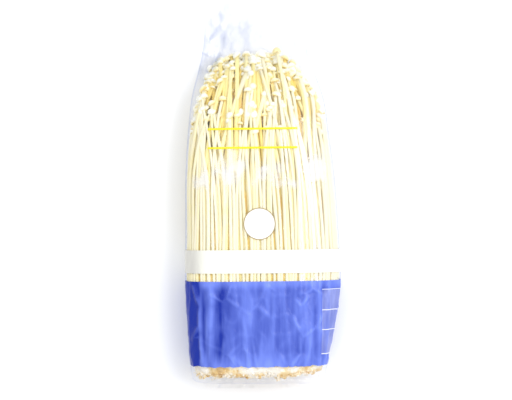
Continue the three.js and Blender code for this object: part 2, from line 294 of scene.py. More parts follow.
def flesh(name, stops, bump_scale):
    """Moist mushroom flesh with fine fibres: pale outside, and gold as painted shade deep in the bunch and
    higher up.
    """
    add, show = new_material(name)
    place = add("TexCoord").node.outputs["Object"]
    deep = add("Attribute", {"attribute_name": "deep"}).node.outputs["Fac"]
    tone = add("Attribute", {"attribute_name": "tone"}).node.outputs["Fac"]
    streak_place = add("Mapping", None, Vector=place, Scale=bump_scale)
    streaks = add("TexNoise", None, Vector=streak_place, Scale=1.0, Detail=3.0)
    uneven = add("TexNoise", None, Vector=place, Scale=70.0, Detail=2.0)
    spread = add("Math", {"operation": "MULTIPLY_ADD"}, _0=tone, _1=0.24, _2=-0.1)
    patch = add("Math", {"operation": "MULTIPLY_ADD"}, _0=uneven, _1=0.3, _2=-0.15)
    # The painted gap shade grows higher up, where the bunch opens, and fades again at the crown.
    height = add("SeparateXYZ", None, Vector=place).node.outputs["Y"]
    higher = add("MapRange", None, Value=height, From_Min=-0.03, From_Max=0.05, To_Min=0.85, To_Max=1.9)
    paler_top = add(
        "MapRange", None, Value=height, From_Min=0.046, From_Max=0.076, To_Min=1.0, To_Max=0.5)
    golden = add("Math", {"operation": "MULTIPLY"}, _0=higher, _1=paler_top)
    shifted = add("Math", {"operation": "MULTIPLY_ADD"}, _0=deep, _1=golden, _2=spread)
    shifted = add("Math", {"operation": "ADD", "use_clamp": True}, _0=shifted, _1=patch)
    colour = ramp(add, shifted, stops)
    relief = add("Bump", None, Strength=0.25, Distance=0.0002, Height=streaks)
    rough = add("MapRange", None, Value=streaks, To_Min=0.38, To_Max=0.56)
    return show(add(
        "BsdfPrincipled", None, Base_Color=colour, Roughness=rough, Normal=relief,
        Subsurface_Weight=0.1, Subsurface_Radius=(1.0, 0.9, 0.6), Subsurface_Scale=0.0006,
    ))


stem_shades = [(0.0, FLESH_PALE), (0.25, FLESH_YELLOW), (0.7, FLESH_SHADED_GOLD), (1.0, FLESH_DEEP_SHADE)]
stem_flesh = flesh("stem_flesh", stem_shades, (900, 45, 900))
outer_stems.data.materials.append(stem_flesh)
inner_stems.data.materials.append(stem_flesh)

# Mushroom caps
# Each stem ends in a small round cap of the same flesh, 3.4 to 5.5 mm across, with a thin rim over the
# stem. The short outer ones bend out and press their caps against the film.
CAP_PROFILE = (  # distance from the axis in cap radii, and height over the stem's end
    (0.0, -0.25), (0.5, -0.22), (0.86, -0.32), (1.0, -0.16), (1.0, 0.1),
    (0.9, 0.44), (0.66, 0.74), (0.34, 0.92), (0.0, 0.97),
)
CAP_SIDES = 12
CAP_TILT_OUT = (0.15, 1.6)  # for the short caps of the outer rows
CAP_TILT = (-0.2, 0.9)
CAP_WOBBLE = 0.12
CAP_FLATNESS = (0.75, 1.15)
CAP_UNEVENNESS = (0.96, 1.04)
CAP_GAP_SHADE_SHARE = 0.08  # how far a cap takes on the painted gap shade of its row
CAP_RING_PAINTED_SHADE = (0.3, 0.3, 0.2, 0.09, 0.02, 0.0, 0.0)  # painted shade, darker below the rim
CAP_HUB_PAINTED_SHADE = (0.3, 0.0)  # painted shade below the cap, and none above
OLD_CAP_SHADE = 0.32
# The gold end of the caps' colours is mostly painted shade under the rims.
CAP_SHADES = [(0.0, (0.95, 0.93, 0.80)), (0.28, (0.93, 0.80, 0.40)), (0.8, (0.88, 0.58, 0.12))]


def cap(centre, axis, radius, profile):
    """A cap turned round its axis: a hub below and above, and rings between."""
    side = np.cross(axis, (0, 0, 1.0))
    side /= np.linalg.norm(side)
    rise = np.cross(axis, side)
    angle = 2 * math.pi * np.arange(CAP_SIDES) / CAP_SIDES
    ring = np.cos(angle)[:, None] * side + np.sin(angle)[:, None] * rise
    rings = [centre + radius * (reach * ring + height * axis) for reach, height in profile[1:-1]]
    hubs = [centre + radius * height * axis for _, height in (profile[0], profile[-1])]
    points = np.concatenate([*rings, hubs])
    below, above = len(points) - 2, len(points) - 1
    faces = []
    for i in range(CAP_SIDES):
        j = (i + 1) % CAP_SIDES
        faces.append([below, j, i])
        for k in range(len(rings) - 1):
            first = k * CAP_SIDES
            faces.append([first + i, first + j, first + CAP_SIDES + j, first + CAP_SIDES + i])
        last = (len(rings) - 1) * CAP_SIDES
        faces.append([last + i, last + j, above])
    return points, faces


caps = []
cap_gold_and_shade = []
for path, thickness, cap_radius, outward, row, short in stems:
    ahead = path[-1] - path[-2]
    ahead /= np.linalg.norm(ahead)
    tilt = draw.uniform(*(CAP_TILT_OUT if short and row < WHOLE_ROWS else CAP_TILT))
    axis = ahead + tilt * outward + draw.normal(0, CAP_WOBBLE, 3)
    axis /= np.linalg.norm(axis)
    flat = draw.uniform(*CAP_FLATNESS)
    profile = [(reach * draw.uniform(*CAP_UNEVENNESS), height * flat) for reach, height in CAP_PROFILE]
    caps.append(cap(path[-1], axis, cap_radius, profile))
    # Painted shade under each cap's rim and hub, and a little of its row's painted gap shade.
    ring_painted_shade = np.repeat(CAP_RING_PAINTED_SHADE, CAP_SIDES)
    cap_gold_and_shade.append(CAP_GAP_SHADE_SHARE * ROW_GAP_SHADE[row] + np.append(ring_painted_shade, CAP_HUB_PAINTED_SHADE))
cap_tone = draw.uniform(0, 1, len(caps)) ** 2
cap_gold_and_shade[oldest] = OLD_CAP_SHADE
mushroom_caps = piece_of("mushroom_caps", caps, "mushroom_flesh", deep=cap_gold_and_shade, tone=cap_tone)
mushroom_caps.data.materials.append(flesh("cap_flesh", CAP_SHADES, (260, 260, 260)))
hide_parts("mushroom_bunch")

# Fused base
# Towards the medium the stems grow together into one tan, ridged mass, and inside the bunch they are packed
# too tightly to tell apart. It is the same flesh, and all the stems stand out of it.
CORE_STATIONS = (  # y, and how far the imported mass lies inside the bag's outside
    (-94.9 * MM, 3.2 * MM), (-94.0 * MM, 2.2 * MM), (-86.0 * MM, 2.3 * MM), (-76.0 * MM, 2.9 * MM),
    (-20.0 * MM, 3.4 * MM), (10.0 * MM, 5.0 * MM), (30.0 * MM, 8.0 * MM), (40.0 * MM, 13.0 * MM),
)
CORE_AROUND = 168
CORE_ALONG = 90
CORE_RIDGES = 84
CORE_RIDGE_HEIGHT = 0.35 * MM
CORE_GOLD_AND_SHADE = 0.5
CORE_TONE = 0.3


def lofted(rings):
    """A closed part through rings of points, with a flat end at the first and the last."""
    count, around = rings.shape[:2]
    i = np.arange(around)
    first = np.arange(count - 1)[:, None] * around
    j = (i + 1) % around
    quads = np.stack([first + i, first + around + i, first + around + j, first + j], -1)
    ends = [i.tolist(), (i[::-1] + (count - 1) * around).tolist()]
    return rings.reshape(-1, 3), [*quads.reshape(-1, 4).tolist(), *ends]


core_stations = np.array(CORE_STATIONS)
core_y = np.linspace(core_stations[0, 0], core_stations[-1, 0], CORE_ALONG)[:, None]
core_inset = np.interp(core_y, core_stations[:, 0], core_stations[:, 1])
core_share = np.arange(CORE_AROUND)[None] / CORE_AROUND
core_wave = core_share * 2 * math.pi * CORE_RIDGES + 3 * np.sin(core_y * 60)
core_ridges = CORE_RIDGE_HEIGHT * np.sin(core_wave)
core_turn = turn_of(core_share + 0 * core_y)
core = lofted(in_section(core_y + 0 * core_share, core_turn, core_inset + core_ridges))
fused_base = piece_of("fused_base", [core], "mushroom_flesh", deep=[CORE_GOLD_AND_SHADE], tone=[CORE_TONE])
# The base's gold is partly its own tan and partly painted shade of the deep gaps where it shows.
core_shades = [(0.0, FLESH_YELLOW), (0.3, FLESH_SHADED_GOLD), (0.9, FLESH_DEEP_SHADE)]
fused_base.data.materials.append(flesh("base_flesh", core_shades, (500, 60, 500)))
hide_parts("mushroom_bunch")

# Growing medium
# A crumbly pad of sawdust and bran, golden brown with white threads of mycelium, still stuck under the
# base where it was cut off. Crumbs stand out of it, and a few lie loose in the bottom of the bag.
PAD_Y = (-100.6 * MM, -94.6 * MM)
PAD_INSET = 2.4 * MM
PAD_AROUND = 150
PAD_ALONG = 12
PAD_FACE_RINGS = 14
PAD_ROUGHNESS = 1.2 * MM
PAD_ROUNDING_LENGTH = 4 * MM
PAD_ROUNDING_DEPTH = 3 * MM
PAD_RISE = 2.6 * MM
PAD_RISE_FROM = 8 * MM
PAD_RISE_WIDTH = 24 * MM
PAD_RAGGEDNESS = 1.3 * MM
CRUMB_COUNT = 2000
CRUMB_RADIUS = (0.35 * MM, 1.7 * MM)
LOOSE_CRUMB_RADIUS = (0.5 * MM, 1.1 * MM)
LOOSE_CRUMBS = (  # their places in millimetres
    (-37.0, -100.6, 20.0), (-35.8, -101.5, 16.0), (-28.6, -103.4, 14.5), (-27.4, -103.0, 17.0),
    (-38.2, -98.4, 25.0), (24.0, -102.6, 22.0), (31.0, -101.0, 18.0), (8.0, -104.0, 13.6),
)
SAWDUST_SHADES = [
    (0.0, (0.44, 0.25, 0.08)), (0.25, (0.70, 0.45, 0.15)),
    (0.5, (0.82, 0.66, 0.38)), (0.7, (0.86, 0.80, 0.70)),
]


def lower_edge(x):
    """The ragged lower edge of the pad, which rises towards the right."""
    ragged = noise.noise(Vector((x * 110, 0.4, 0))) + 0.7 * noise.noise(Vector((x * 320, 5.1, 0)))
    rise = PAD_RISE * min(max((x - PAD_RISE_FROM) / PAD_RISE_WIDTH, 0), 1)
    return PAD_Y[0] + rise + PAD_RAGGEDNESS * ragged


def crumb(centre, radius):
    """A lumpy crumb: a small ball with its points moved in and out at random."""
    lumps = draw.uniform(0.6, 1.25, len(ball_points))
    squash = draw.uniform(0.55, 1.0, 3)
    return centre + ball_points * lumps[:, None] * squash * radius, ball_faces


ball = bpy.data.meshes.new("ball")
ball_form = bmesh.new()
bmesh.ops.create_icosphere(ball_form, subdivisions=1, radius=1)
ball_form.to_mesh(ball)
ball_points = np.array([v.co for v in ball.vertices])
ball_faces = [list(p.vertices) for p in ball.polygons]
bpy.data.meshes.remove(ball)

pad_y = np.linspace(*PAD_Y, PAD_ALONG)[:, None]
pad_share = np.arange(PAD_AROUND)[None] / PAD_AROUND
pad_turn = turn_of(pad_share + 0 * pad_y)
pad_round = np.clip((PAD_Y[0] + PAD_ROUNDING_LENGTH - pad_y) / PAD_ROUNDING_LENGTH, 0, 1) ** 2
pad_round = pad_round * PAD_ROUNDING_DEPTH
pad_rings = in_section(pad_y + 0 * pad_share, pad_turn, PAD_INSET + pad_round)
pad_middle = pad_rings.mean(axis=1, keepdims=True)
pad_face_share = np.linspace(0.04, 0.97, PAD_FACE_RINGS)[:, None, None]
pad_face = pad_middle[0] + pad_face_share * (pad_rings[0] - pad_middle[0])
for ring, middle in zip(pad_rings, pad_middle):
    for point in ring:
        bump = noise.noise(Vector(point) * 260) + 0.6 * noise.noise(Vector(point) * 700)
        inwards = middle[0] - point
        point += PAD_ROUGHNESS * (bump + 0.3) * inwards / np.linalg.norm(inwards)
        pad_depth = PAD_Y[1] - lower_edge(point[0])
        point[1] = PAD_Y[1] - (PAD_Y[1] - point[1]) * pad_depth / (PAD_Y[1] - PAD_Y[0])
for point in pad_face.reshape(-1, 3):
    bump = noise.noise(Vector(point) * 180) + 0.7 * noise.noise(Vector(point) * 520)
    point[1] = lower_edge(point[0]) - 1.1 * PAD_ROUGHNESS * bump
crumbs = [lofted(np.concatenate([pad_face, pad_rings]))]
for i in range(CRUMB_COUNT):  # two in three lie round the rim, and the third on the cut face
    crumb_radius = CRUMB_RADIUS[0] + (CRUMB_RADIUS[1] - CRUMB_RADIUS[0]) * draw.random() ** 2.2
    crumb_turn = turn_of(draw.random())
    if i % 3:
        crumb_inset = PAD_INSET + draw.uniform(-0.4, 0.8) * MM + crumb_radius * 0.5
        crumb_share = draw.uniform(0.05, 1.12)
    else:
        crumb_inset = PAD_INSET + 1.5 * MM + draw.random() ** 0.8 * 14 * MM
        crumb_share = draw.uniform(-0.14, 0.1)
    crumb_place = in_section(np.array(PAD_Y[0]), crumb_turn, crumb_inset)
    crumb_place[1] = lower_edge(crumb_place[0]) * (1 - crumb_share) + PAD_Y[1] * crumb_share
    crumbs.append(crumb(crumb_place, crumb_radius))
for place in LOOSE_CRUMBS:
    crumbs.append(crumb(np.array(place) * MM, draw.uniform(*LOOSE_CRUMB_RADIUS)))
crumb_tone = draw.uniform(0, 1, len(crumbs))
growing_pad = piece_of("growing_pad", crumbs, "growing_medium", tone=crumb_tone)
growing_pad.data.shade_flat()
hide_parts("growing_medium")

add, show = new_material("sawdust")
place = add("TexCoord").node.outputs["Object"]
tone = add("Attribute", {"attribute_name": "tone"}).node.outputs["Fac"]
threads = add("TexNoise", None, Vector=place, Scale=120.0, Detail=5.0)
grain = add("TexNoise", None, Vector=place, Scale=1100.0, Detail=2.0)
mixed = add("Math", {"operation": "MULTIPLY_ADD"}, _0=threads, _1=2.4, _2=-0.9)
mixed = add("Math", {"operation": "MULTIPLY_ADD", "use_clamp": True}, _0=tone, _1=0.5, _2=mixed)
sawdust = ramp(add, mixed, SAWDUST_SHADES)
relief = add("Bump", None, Strength=0.6, Distance=0.0003, Height=grain)
growing_pad.data.materials.append(show(add(
    "BsdfPrincipled", None, Base_Color=sawdust, Roughness=0.9, Normal=relief)))

# Film bag
# A bag of clear, glossy film about 0.04 mm thick, sealed flat below the medium and drawn flat at its mouth.
# It clings to the stems and bridges the gaps between them, and it creases at the mouth, corners and seal.
FILM_AROUND = 280
FILM_ALONG = 330
FILM_INSET = 0.35 * MM
CLING_START = 3.0 * MM  # how far outside the film each ray towards the contents starts
CLING_REACH = 4.0 * MM
CLING_DEPTH = 1.3 * MM  # the deepest that the film sinks between stems
CLING_GAP = 0.3 * MM
CLING_ROUNDS = 12
CLING_FROM = (-102.0 * MM, 8.0 * MM)  # y where the film starts to cling, and how gently
CLING_UP_TO = (84.0 * MM, 14.0 * MM)
SEAL_Y = -104.6 * MM
SEAL_FLATNESS = 0.94
MOUTH_Y = 98.0 * MM
MOUTH_FLATNESS = 0.7
PLEATS = 9
PLEAT_DEPTH = 0.42 * MM
PLEATS_FROM = (72.0 * MM, 32.0 * MM)
FOLDS = (  # start x, y and end x, y of folds in the upper face, then width and height, all in millimetres
    (-24.1, 103.6, -23.0, 96.0, 3.6, 0.9), (-23.0, 97.0, -30.6, 85.0, 4.2, 1.1),
    (-21.3, 91.1, -22.4, 80.4, 3.8, 0.9), (-22.4, 81.4, -29.0, 69.5, 4.2, 1.1),
    (-36.8, 81.5, -27.6, 76.4, 2.6, 0.9), (-35.0, 72.0, -28.0, 84.0, 3.0, 0.6),
    (-16.0, 96.0, -12.0, 82.0, 3.8, 0.4), (9.0, 96.0, 6.0, 82.0, 3.4, 0.4),
    (16.0, 90.0, 21.0, 74.0, 3.4, 0.5), (-39.8, -47.5, -35.8, -61.3, 2.1, 1.1),
    (-35.8, -61.3, -35.3, -76.0, 2.1, 1.1), (-35.3, -76.0, -33.6, -94.0, 2.1, 1.1),
    (-39.8, -80.4, -35.8, -71.4, 2.0, 0.9), (-40.4, -79.8, -35.3, -78.1, 2.0, 0.8),
    (-29.7, -49.5, -28.0, -61.3, 3.2, 0.7), (-28.0, -61.3, -29.5, -76.0, 3.4, 0.8),
    (-29.5, -76.0, -30.0, -91.5, 3.0, 0.7), (-33.4, -52.0, -32.9, -92.7, 2.2, -0.6),
    (-24.6, -49.0, -22.4, -72.5, 5.4, -0.9), (-22.4, -72.5, -24.1, -92.0, 4.8, -0.8),
    (23.0, -60.0, 26.3, -89.0, 6.0, 0.9), (16.2, -65.8, 20.7, -76.0, 1.8, 0.9),
    (20.7, -76.0, 20.7, -87.1, 1.8, 0.9), (20.7, -87.1, 16.2, -93.5, 1.8, 0.9),
    (18.5, -57.0, 20.7, -61.3, 1.8, 0.9), (20.7, -61.3, 25.2, -55.6, 1.8, 0.9),
    (31.9, -47.6, 31.4, -94.0, 2.2, 0.7), (28.4, -52.4, 29.7, -84.0, 3.0, -0.5),
    (8.0, -86.0, 13.0, -93.4, 2.2, 0.4), (-18.0, -88.0, -12.0, -94.0, 2.4, 0.4),
    (36.6, -50.0, 35.4, -90.0, 2.6, 0.5), (-33.0, -98.0, -14.0, -102.6, 2.2, 0.7),
    (30.0, -97.0, 12.0, -102.0, 2.2, 0.7), (-12.0, -100.0, 10.0, -101.6, 2.4, 0.5),
)
CREASED_BELOW = (-44.0, 6.0)  # y in millimetres under which the film is creased, and how gently it starts
CRUMPLED_ABOVE = (66.0, 20.0)
LONG_FOLD_HEIGHT = 0.35  # these heights are in millimetres
CRUMPLE_HEIGHT = 0.18
CREASE_HEIGHT = 0.5
CREASE_WIDTH = 0.085

film_y = np.linspace(BAG_OUTLINE[0, 0], BAG_OUTLINE[-1, 0], FILM_ALONG + 1)[:, None]
film_share = np.arange(FILM_AROUND)[None] / FILM_AROUND
film_turn = turn_of(film_share + 0 * film_y)
film_rest = in_section(film_y + 0 * film_share, film_turn, FILM_INSET)
film_edges = section(film_y[:, 0])
film_middle_z = (film_edges[:, 2] + film_edges[:, 3])[:, None] / 2
film_across = (film_rest[..., 0] - film_edges[:, 0:1]) / (film_edges[:, 1:2] - film_edges[:, 0:1]) * 2 - 1
sealed = np.clip((SEAL_Y - film_y) / (SEAL_Y - BAG_OUTLINE[0, 0]), 0, 1)
closing = np.clip((film_y - MOUTH_Y) / (BAG_OUTLINE[-1, 0] - MOUTH_Y), 0, 1)
flatness = (1 - SEAL_FLATNESS * sealed) * (1 - MOUTH_FLATNESS * closing)
film_rest[..., 2] = film_middle_z + (film_rest[..., 2] - film_middle_z) * flatness
pleating = PLEAT_DEPTH * np.clip((film_y - PLEATS_FROM[0]) / PLEATS_FROM[1], 0, 1)
film_rest[..., 2] += pleating * np.cos(film_across * PLEATS * math.pi / 2) * (1 - film_across**2)


def outward_of(grid):
    """The outward direction at each point of a closed grid of rings."""
    along = np.gradient(grid, axis=0)
    around = np.roll(grid, -1, axis=1) - np.roll(grid, 1, axis=1)
    outward = np.cross(around, along)
    length = np.linalg.norm(outward, axis=-1, keepdims=True)
    return -outward / np.maximum(length, 1e-12)


film_out = outward_of(film_rest)
middle_line = film_rest.mean(axis=1, keepdims=True)
if ((film_rest - middle_line) * film_out).sum() < 0:
    film_out = -film_out

# Room is how far the film can sink before it meets a stem, and sunk is how far it does, smoothed.
contents_points = []
contents_faces = []
for piece in (outer_stems, inner_stems, mushroom_caps, fused_base, growing_pad):
    start = len(contents_points)
    contents_points += [v.co.copy() for v in piece.data.vertices]
    contents_faces += [[i + start for i in p.vertices] for p in piece.data.polygons]
contents = BVHTree.FromPolygons(contents_points, contents_faces)
room = np.full(film_rest.shape[:2], CLING_REACH)
for index in np.ndindex(room.shape):
    start = Vector(film_rest[index] + CLING_START * film_out[index])
    hit = contents.ray_cast(start, Vector(-film_out[index]), CLING_START + CLING_REACH + CLING_GAP)
    if hit[0] is not None:
        room[index] = hit[3] - CLING_START - CLING_GAP
for axis in (0, 1):
    room = np.minimum(room, np.minimum(np.roll(room, 1, axis=axis), np.roll(room, -1, axis=axis)))
free_room = room
clings = np.clip((film_y - CLING_FROM[0]) / CLING_FROM[1], 0, 1)
clings = clings * np.clip((CLING_UP_TO[0] - film_y) / CLING_UP_TO[1], 0, 1)
clings = clings * (0.25 + 0.75 * np.clip(np.abs(film_out[..., 2]) * 2 - 0.4, 0, 1))
room = np.where(room < 0, room, np.minimum(room, CLING_DEPTH) * clings)
sunk = room.copy()
for _ in range(CLING_ROUNDS):
    beside = (np.roll(sunk, 1, axis=1) + np.roll(sunk, -1, axis=1)) / 2
    padded = np.concatenate([sunk[:1], sunk, sunk[-1:]])
    before_after = (padded[:-2] + padded[2:]) / 2
    sunk = np.minimum(room, 0.2 * sunk + 0.4 * beside + 0.4 * before_after)


def fold_height(points, start, end, width, height):
    """How far a fold lifts each point: sharp at its line, and fading towards its ends."""
    line = np.array(end) - np.array(start)
    place = ((points - start) @ line) / (line @ line)
    nearest = np.array(start) + np.clip(place, 0, 1)[..., None] * line
    distance = np.linalg.norm(points - nearest, axis=-1) / width
    taper = np.clip(1.5 - np.abs(place - 0.5) * 2.2, 0, 1)
    return height * taper * np.clip(1 - distance, 0, 1) ** 1.5


film_mm = film_rest / MM
upper = np.clip(film_out[..., 2] * 2, 0, 1)
ridges = np.zeros(film_rest.shape[:2])
valleys = np.zeros(film_rest.shape[:2])
for x0, y0, x1, y1, width, height in FOLDS:
    fold = fold_height(film_mm[..., :2], (x0, y0), (x1, y1), width, height)
    ridges = np.maximum(ridges, fold)
    valleys = np.minimum(valleys, fold)
lift = (ridges + valleys) * upper
creased = np.clip((CREASED_BELOW[0] - film_mm[..., 1]) / CREASED_BELOW[1], 0.1, 1)
crumpled = np.maximum(creased, np.clip((film_mm[..., 1] - CRUMPLED_ABOVE[0]) / CRUMPLED_ABOVE[1], 0, 0.8))
for index in np.ndindex(lift.shape):
    x, y, z = film_mm[index]
    long_fold = 1 - abs(noise.noise(Vector((x / 8, y / 46, z / 8)))) * 5
    crumple = 1 - abs(noise.noise(Vector((x / 7, y / 11 + 40, z / 7)))) * 4
    lift[index] += LONG_FOLD_HEIGHT * max(long_fold, 0) * creased[index]
    lift[index] += CRUMPLE_HEIGHT * max(crumple, 0) * creased[index] ** 2
    near, next_near = noise.voronoi(Vector((x / 13, y / 25 + 3, z / 13)))[0][:2]
    crease = max(1 - (next_near - near) / CREASE_WIDTH, 0)
    broken = min(max(0.25 + 2.6 * noise.noise(Vector((x / 16, y / 16, 7 + z / 16))), 0), 1)
    lift[index] += CREASE_HEIGHT * crease * broken * crumpled[index] ** 2
folds = lift.copy()
lift = lift * MM * (1 - 0.9 * sealed) * (1 - 0.55 * closing)
film_points = film_rest + np.maximum(lift - sunk, -free_room)[..., None] * film_out
film_points[..., 2] = np.maximum(film_points[..., 2], 0.0)

film_mesh = bpy.data.meshes.new("printed_film")
film_quads = []
for ring in range(FILM_ALONG):
    for i in range(FILM_AROUND):
        j = (i + 1) % FILM_AROUND
        first = ring * FILM_AROUND
        film_quads.append([first + i, first + FILM_AROUND + i, first + FILM_AROUND + j, first + j])
film_mesh.from_pydata(film_points.reshape(-1, 3).tolist(), [], film_quads)
film_mesh.shade_smooth()
printed = film_mesh.attributes.new("printed", "FLOAT_VECTOR", "POINT")
print_places = np.stack([film_mm[..., 0], film_mm[..., 1], film_out[..., 2]], -1)
printed.data.foreach_set("vector", print_places.reshape(-1).astype(np.float32))
folded_by = film_mesh.attributes.new("fold", "FLOAT", "POINT")
folded_by.data.foreach_set("value", folds.reshape(-1).astype(np.float32))
printed_film = bpy.data.objects.new("printed_film", film_mesh)
bpy.context.scene.collection.objects.link(printed_film)
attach(printed_film, "root")
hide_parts("film_bag")

# Print on the film
# Two opaque bands of ink run right round the bag, a cream one across the stems and a deep blue one over the
# base. On the upper face are a plain white disc, two yellow rules and a faint panel with four white rules.
BLUE_BAND = (-94.4, -47.3)  # this and the other places below are in millimetres on the flat pack
BLUE_EDGE_RAGGEDNESS = 3.0
BLUE_EDGE_DROP = 1.7
CREAM_BAND = (-42.8, -30.0)
BAND_TILT = 0.0105
# Painted light on the blue band: painted shade on its left side and a painted highlight on its folds.
LEFT_PANEL_PAINTED_SHADE = -0.64
FOLD_PAINTED_SHEEN = 0.5
DISC_CENTRE = (-2.0, -15.6)
DISC_RADIUS = 8.85
RIM_WIDTH = 0.5
RULE_X = (-31.0, 19.0)
RULES_Y = ((36.5, 37.6), (25.9, 27.0))
BLOCK_X = (33.0, 43.6)
BLOCK_Y = (-88.6, -52.0)
BLOCK_RULES_Y = (-52.3, -63.8, -74.8, -88.4)
BLOCK_RULE_WIDTH = 0.45
BLOCK_RULE_STRENGTH = 0.85
GLARE_STRENGTH = 0.54
GLARE_PATCHES = (  # centre x, y and half width and height of white painted glare on the film
    (-17.9, 13.6, 8.0, 8.5), (1.1, 14.3, 6.5, 5.0), (15.1, 6.4, 5.0, 2.6),
    (28.6, 14.3, 7.0, 8.0), (-33.0, 8.7, 4.0, 4.5),
)
# The blue ink runs from its painted-shade colour to its painted-highlight colour.
INK_BLUE_SHADED = (0.006, 0.026, 0.32)
INK_BLUE_SHEEN = (0.195, 0.28, 0.87)
INK_CREAM = (0.88, 0.87, 0.78)
# Painted shade for the cream band's left side.
INK_CREAM_SHADED = (0.56, 0.54, 0.50)
INK_YELLOW = (0.80, 0.72, 0.02)
INK_TAN = (0.42, 0.32, 0.15)
INK_WHITE = (0.88, 0.88, 0.88)
FILM_CLEAR = (1.0, 1.0, 1.0)
FILM_EDGE = (0.90, 0.92, 1.0)
# Painted shade in the clear film's folds and creases.
FILM_FOLD_SHADE = (0.66, 0.69, 0.79)
GLOSS_EDGE = (0.76, 0.80, 0.93)
# White of the painted glare.
GLARE_WHITE = (0.95, 0.96, 1.0, 1.0)

add, show = new_material("printed_film")


def sum_of(operation, a, b):
    """One step of arithmetic on two values."""
    return add("Math", {"operation": operation}, _0=a, _1=b)


def both(a, b):
    """Two values multiplied. Of two masks, that leaves where both are one."""
    return sum_of("MULTIPLY", a, b)


def between(value, limits):
    """One where a value lies between two limits, else nothing."""
    return both(sum_of("GREATER_THAN", value, limits[0]), sum_of("LESS_THAN", value, limits[1]))


def distance(across, along):
    """How far a place is from a centre, given how far it is across and along."""
    return sum_of("SQRT", sum_of("ADD", sum_of("POWER", across, 2.0), sum_of("POWER", along, 2.0)), 0.0)


def clamped(value):
    """A value held between nothing and one."""
    return add("Math", {"operation": "ADD", "use_clamp": True}, _0=value, _1=0.0)


def ranged(value, start, end, to_start, to_end):
    """A value carried smoothly from one range into another, and held at its ends."""
    return add("MapRange", {"interpolation_type": "SMOOTHSTEP"}, Value=value, From_Min=start, From_Max=end,
               To_Min=to_start, To_Max=to_end)


def inked(under, mask, ink):
    """The colours so far with an ink laid over them where the mask is one."""
    mix = add("Mix", {"data_type": "RGBA"}).node
    for socket, value in ((mix.inputs[0], mask), (mix.inputs[6], under), (mix.inputs[7], ink)):
        if isinstance(value, bpy.types.NodeSocket):
            mix.id_data.links.new(value, socket)
        else:
            socket.default_value = (*value, 1)
    return mix.outputs[2]


print_place = add("Attribute", {"attribute_name": "printed"}).node.outputs["Vector"]
axes = add("SeparateXYZ", None, Vector=print_place).node.outputs
print_x = axes["X"]
streak_place = add("Mapping", None, Vector=print_place, Scale=(0.16, 0.025, 1.0))
streaks = add("TexNoise", None, Vector=streak_place, Scale=1.0, Detail=3.0)
print_y = add("Math", {"operation": "MULTIPLY_ADD"}, _0=print_x, _1=-BAND_TILT, _2=axes["Y"])
face_up = sum_of("GREATER_THAN", axes["Z"], 0.0)
edge_place = add("Mapping", None, Vector=print_place, Scale=(0.2, 0.0, 0.0))
uneven_edge = add("TexNoise", None, Vector=edge_place, Scale=1.0, Detail=3.0)
lower_y = add(
    "Math", {"operation": "MULTIPLY_ADD"},
    _0=uneven_edge, _1=BLUE_EDGE_RAGGEDNESS, _2=BLUE_BAND[0] - BLUE_EDGE_DROP)
blue = between(print_y, (lower_y, BLUE_BAND[1]))
cream = between(print_y, CREAM_BAND)
from_disc_x = sum_of("SUBTRACT", print_x, DISC_CENTRE[0])
from_disc_y = sum_of("SUBTRACT", axes["Y"], DISC_CENTRE[1])
from_disc = distance(from_disc_x, from_disc_y)
disc = both(sum_of("LESS_THAN", from_disc, DISC_RADIUS), face_up)
rim = both(sum_of("GREATER_THAN", from_disc, DISC_RADIUS - RIM_WIDTH), disc)
rules = sum_of("ADD", between(print_y, RULES_Y[0]), between(print_y, RULES_Y[1]))
rules = both(both(rules, between(print_x, RULE_X)), face_up)
lines = ranged(streaks, 0.3, 0.7, 0.06, 0.2)
for rule_y in BLOCK_RULES_Y:
    rule = between(print_y, (rule_y, rule_y + BLOCK_RULE_WIDTH))
    lines = sum_of("MAXIMUM", lines, both(rule, BLOCK_RULE_STRENGTH))
block = both(both(between(print_x, BLOCK_X), between(print_y, BLOCK_Y)), face_up)
block = both(block, lines)

# Painted light on the blue: a painted highlight in soft streaks, on folds, at the band's ends and left of the
# middle, less of it towards the right, and painted shade on the left side, which faces away from the light.
fold = add("Attribute", {"attribute_name": "fold"}).node.outputs["Fac"]
shaded_left_panel = both(ranged(print_x, -38.0, -34.5, 1.0, 0.0), ranged(axes["Z"], -0.8, 0.2, 0.0, 1.0))
painted_sheen = ranged(streaks, 0.35, 0.75, 0.16, 0.52)
band_end_sheen = sum_of("ADD", ranged(print_y, -53.0, -47.3, 0.0, 0.4), ranged(print_y, -94.4, -85.0, 0.3, 0.0))
for value in (
    both(fold, FOLD_PAINTED_SHEEN),
    both(shaded_left_panel, LEFT_PANEL_PAINTED_SHADE),
    both(band_end_sheen, sum_of("SUBTRACT", 1.0, shaded_left_panel)),
    ranged(print_x, -22.0, -10.0, 0.0, 0.13),
    ranged(print_x, -4.0, 26.0, 0.0, -0.12),
):
    painted_sheen = sum_of("ADD", painted_sheen, value)
blue_ink = inked(INK_BLUE_SHADED, clamped(painted_sheen), INK_BLUE_SHEEN)
# Painted shade on the cream band's left side, which faces away from the light, broken up by the streaks.
cream_painted_shade = both(ranged(print_x, -40.5, -31.0, 1.0, 0.0), ranged(axes["Z"], -0.4, 0.1, 0.0, 1.0))
cream_painted_shade = both(cream_painted_shade, ranged(streaks, 0.3, 0.7, 1.0, 0.6))
ink = inked(inked(INK_CREAM, cream_painted_shade, INK_CREAM_SHADED), blue, blue_ink)
ink = inked(ink, disc, INK_WHITE)
ink = inked(ink, rim, INK_TAN)
ink = inked(ink, rules, INK_YELLOW)
ink = inked(ink, block, INK_WHITE)
opaque = clamped(sum_of("ADD", sum_of("ADD", blue, cream), sum_of("ADD", disc, rules)))

